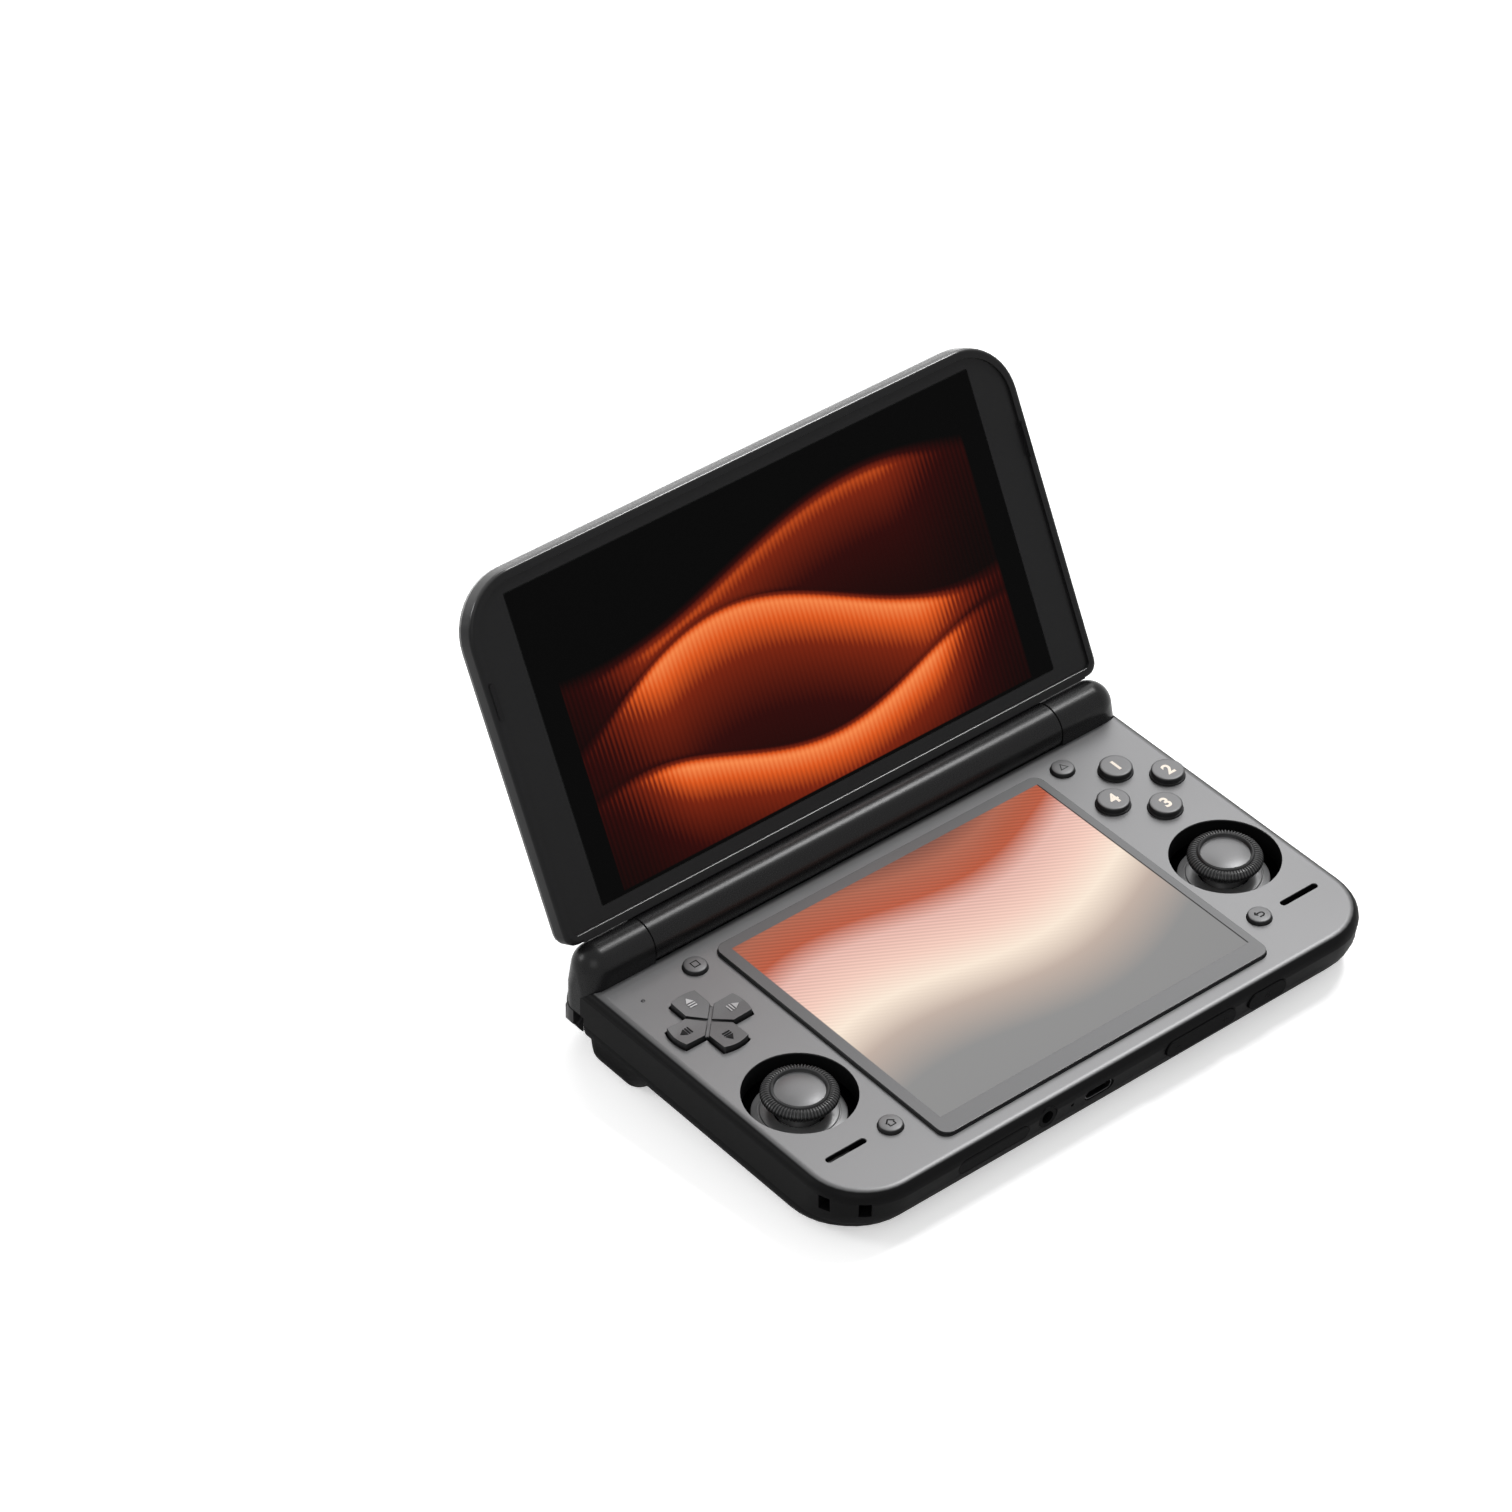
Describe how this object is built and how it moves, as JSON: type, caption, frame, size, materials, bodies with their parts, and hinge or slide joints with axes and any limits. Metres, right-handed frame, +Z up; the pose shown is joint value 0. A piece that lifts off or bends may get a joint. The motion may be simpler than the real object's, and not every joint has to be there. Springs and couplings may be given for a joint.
{
  "type": "clamshell handheld game console",
  "caption": "Handheld game console with a hinged screen lid, a lower screen, thumb sticks, a direction pad, buttons and triggers.",
  "frame": {"origin": "middle of the console at rest, on the surface that its four feet stand on", "axes": "+X to the right as the player sees it, +Y to the back, +Z up"},
  "size_m": [0.1804, 0.1552, 0.1232],
  "materials": {
    "deck": "satin moulded grey plastic, lit as metal-like",
    "cover_black": "fine-grained black plastic",
    "hinge_black": "satin black plastic",
    "bezel_black": "satin dark plastic",
    "steel": "ground steel",
    "zinc": "stamped metal",
    "lower_glass": "cover glass over a lit panel",
    "upper_glass": "cover glass over a lit panel",
    "panel": "display panel",
    "gasket": "black foam gasket",
    "board": "green circuit board",
    "battery": "wrapped cell",
    "copper": "copper-toned fins",
    "fan": "black plastic",
    "inner_plastic": "dark inner plastic",
    "gimbal_plastic": "natural acetal plastic",
    "key_black": "satin black keys",
    "button_black": "satin black buttons",
    "stick_rubber": "soft-touch rubber",
    "collar": "dark grey plastic",
    "dome_rubber": "silicone mat",
    "light_pipe": "clear light pipe",
    "foot_rubber": "black rubber",
    "pad_rubber": "black rubber"
  },
  "bodies": {
    "base": {"deck_shell": "deck", "bottom_cover": "cover_black", "left_hinge_cap": "hinge_black", "right_hinge_cap": "hinge_black", "hinge_pins": "steel", "lower_glass": "lower_glass", "lower_gasket": "gasket", "lower_display": "panel", "mid_frame": "zinc", "main_board": "board", "battery": "battery", "fan_housing": "fan", "heat_sink": "copper", "speakers": "inner_plastic", "usb_socket": "steel", "audio_jack": "key_black", "card_reader": "steel", "side_switches": "inner_plastic", "dome_mats": "dome_rubber", "stick_housings": "inner_plastic", "stick_collars": "collar", "pad_post": "inner_plastic", "trigger_brackets": "zinc", "light_pipe": "light_pipe", "feet": "foot_rubber", "base_screws": "steel"},
    "lid": {"lid_frame": "bezel_black", "lid_back_cover": "cover_black", "upper_glass": "upper_glass", "upper_display": "panel", "hinge_barrel": "hinge_black", "hinge_bushes": "steel", "hinge_cover": "hinge_black", "lid_pads": "pad_rubber"},
    "left_click": {"left_click_frame": "gimbal_plastic"},
    "left_gimbal": {"left_gimbal_ring": "gimbal_plastic"},
    "left_stick": {"left_stick_stem": "steel", "left_stick_cap": "stick_rubber"},
    "right_click": {"right_click_frame": "gimbal_plastic"},
    "right_gimbal": {"right_gimbal_ring": "gimbal_plastic"},
    "right_stick": {"right_stick_stem": "steel", "right_stick_cap": "stick_rubber"},
    "face_button_back": {"face_button_back": "button_black"},
    "face_button_right": {"face_button_right": "button_black"},
    "face_button_front": {"face_button_front": "button_black"},
    "face_button_left": {"face_button_left": "button_black"},
    "pad_spider": {"pad_spider": "steel"},
    "direction_pad": {"direction_pad": "button_black"},
    "square_button": {"square_button": "button_black"},
    "triangle_button": {"triangle_button": "button_black"},
    "house_button": {"house_button": "button_black"},
    "return_button": {"return_button": "button_black"},
    "volume_rocker": {"volume_rocker": "key_black"},
    "power_button": {"power_button": "key_black"},
    "card_door": {"card_door": "key_black"},
    "left_bumper": {"left_bumper": "key_black"},
    "left_trigger": {"left_trigger": "key_black"},
    "right_bumper": {"right_bumper": "key_black"},
    "right_trigger": {"right_trigger": "key_black"},
    "fan_rotor": {"fan_rotor": "fan"}
  },
  "joints": [
    {"name": "lid_hinge", "type": "hinge", "parent": "base", "child": "lid", "pos_m": [0, 0.03029, 0.02774], "axis": [1, 0, 0], "range_deg": [-62.5, 117.5]},
    {"name": "left_stick_click", "type": "slide", "parent": "base", "child": "left_click", "axis": [0, 0.0748, -0.9972], "range_m": [0, 0.0005], "stiffness_N_per_m": 2500},
    {"name": "left_stick_pitch", "type": "hinge", "parent": "left_click", "child": "left_gimbal", "pos_m": [-0.072, -0.03474, 0.00962], "axis": [1, 0, 0], "range_deg": [-15, 15], "stiffness_Nm_per_rad": 0.02},
    {"name": "left_stick_roll", "type": "hinge", "parent": "left_gimbal", "child": "left_stick", "pos_m": [-0.072, -0.03474, 0.00962], "axis": [0, 0.9972, 0.0748], "range_deg": [-15, 15], "stiffness_Nm_per_rad": 0.02},
    {"name": "right_stick_click", "type": "slide", "parent": "base", "child": "right_click", "axis": [0, 0.0748, -0.9972], "range_m": [0, 0.0005], "stiffness_N_per_m": 2500},
    {"name": "right_stick_pitch", "type": "hinge", "parent": "right_click", "child": "right_gimbal", "pos_m": [0.072, -0.03474, 0.00962], "axis": [1, 0, 0], "range_deg": [-15, 15], "stiffness_Nm_per_rad": 0.02},
    {"name": "right_stick_roll", "type": "hinge", "parent": "right_gimbal", "child": "right_stick", "pos_m": [0.072, -0.03474, 0.00962], "axis": [0, 0.9972, 0.0748], "range_deg": [-15, 15], "stiffness_Nm_per_rad": 0.02},
    {"name": "face_button_back_press", "type": "slide", "parent": "base", "child": "face_button_back", "axis": [0, 0.0748, -0.9972], "range_m": [0, 0.001], "stiffness_N_per_m": 500},
    {"name": "face_button_right_press", "type": "slide", "parent": "base", "child": "face_button_right", "axis": [0, 0.0748, -0.9972], "range_m": [0, 0.001], "stiffness_N_per_m": 500},
    {"name": "face_button_front_press", "type": "slide", "parent": "base", "child": "face_button_front", "axis": [0, 0.0748, -0.9972], "range_m": [0, 0.001], "stiffness_N_per_m": 500},
    {"name": "face_button_left_press", "type": "slide", "parent": "base", "child": "face_button_left", "axis": [0, 0.0748, -0.9972], "range_m": [0, 0.001], "stiffness_N_per_m": 500},
    {"name": "pad_pitch", "type": "hinge", "parent": "base", "child": "pad_spider", "pos_m": [-0.07315, -0.00143, 0.01673], "axis": [1, 0, 0], "range_deg": [-3.5, 3.5], "stiffness_Nm_per_rad": 0.1},
    {"name": "pad_roll", "type": "hinge", "parent": "pad_spider", "child": "direction_pad", "pos_m": [-0.07315, -0.00143, 0.01673], "axis": [0, 0.9972, 0.0748], "range_deg": [-3.5, 3.5], "stiffness_Nm_per_rad": 0.1},
    {"name": "square_button_press", "type": "slide", "parent": "base", "child": "square_button", "axis": [0, 0.0748, -0.9972], "range_m": [0, 0.0006], "stiffness_N_per_m": 600},
    {"name": "triangle_button_press", "type": "slide", "parent": "base", "child": "triangle_button", "axis": [0, 0.0748, -0.9972], "range_m": [0, 0.0006], "stiffness_N_per_m": 600},
    {"name": "house_button_press", "type": "slide", "parent": "base", "child": "house_button", "axis": [0, 0.0748, -0.9972], "range_m": [0, 0.0006], "stiffness_N_per_m": 600},
    {"name": "return_button_press", "type": "slide", "parent": "base", "child": "return_button", "axis": [0, 0.0748, -0.9972], "range_m": [0, 0.0006], "stiffness_N_per_m": 600},
    {"name": "volume_rock", "type": "hinge", "parent": "base", "child": "volume_rocker", "pos_m": [0.0246, -0.07411, 0.01178], "axis": [0, -0.0748, 0.9972], "range_deg": [-1.2, 1.2], "stiffness_Nm_per_rad": 0.3},
    {"name": "power_press", "type": "slide", "parent": "base", "child": "power_button", "axis": [0, 0.9972, 0.0748], "range_m": [0, 0.0005], "stiffness_N_per_m": 1500},
    {"name": "card_door_swing", "type": "hinge", "parent": "base", "child": "card_door", "pos_m": [-0.056, -0.07701, 0.01157], "axis": [0, 0.0748, -0.9972], "range_deg": [0, 100]},
    {"name": "left_bumper_press", "type": "hinge", "parent": "base", "child": "left_bumper", "pos_m": [-0.0663, 0.03172, 0.01661], "axis": [0, -0.0748, 0.9972], "range_deg": [0, 2.5], "stiffness_Nm_per_rad": 0.3},
    {"name": "left_trigger_pull", "type": "hinge", "parent": "base", "child": "left_trigger", "pos_m": [-0.076, 0.0304, 0.01551], "axis": [-1, 0, 0], "range_deg": [0, 12], "stiffness_Nm_per_rad": 0.05},
    {"name": "right_bumper_press", "type": "hinge", "parent": "base", "child": "right_bumper", "pos_m": [0.0663, 0.03172, 0.01661], "axis": [0, 0.0748, -0.9972], "range_deg": [0, 2.5], "stiffness_Nm_per_rad": 0.3},
    {"name": "right_trigger_pull", "type": "hinge", "parent": "base", "child": "right_trigger", "pos_m": [0.076, 0.0304, 0.01551], "axis": [-1, 0, 0], "range_deg": [0, 12], "stiffness_Nm_per_rad": 0.05},
    {"name": "fan_spin", "type": "hinge", "parent": "base", "child": "fan_rotor", "pos_m": [0.028, -0.00468, 0.00987], "axis": [0, -0.0748, 0.9972], "continuous": true}
  ]
}
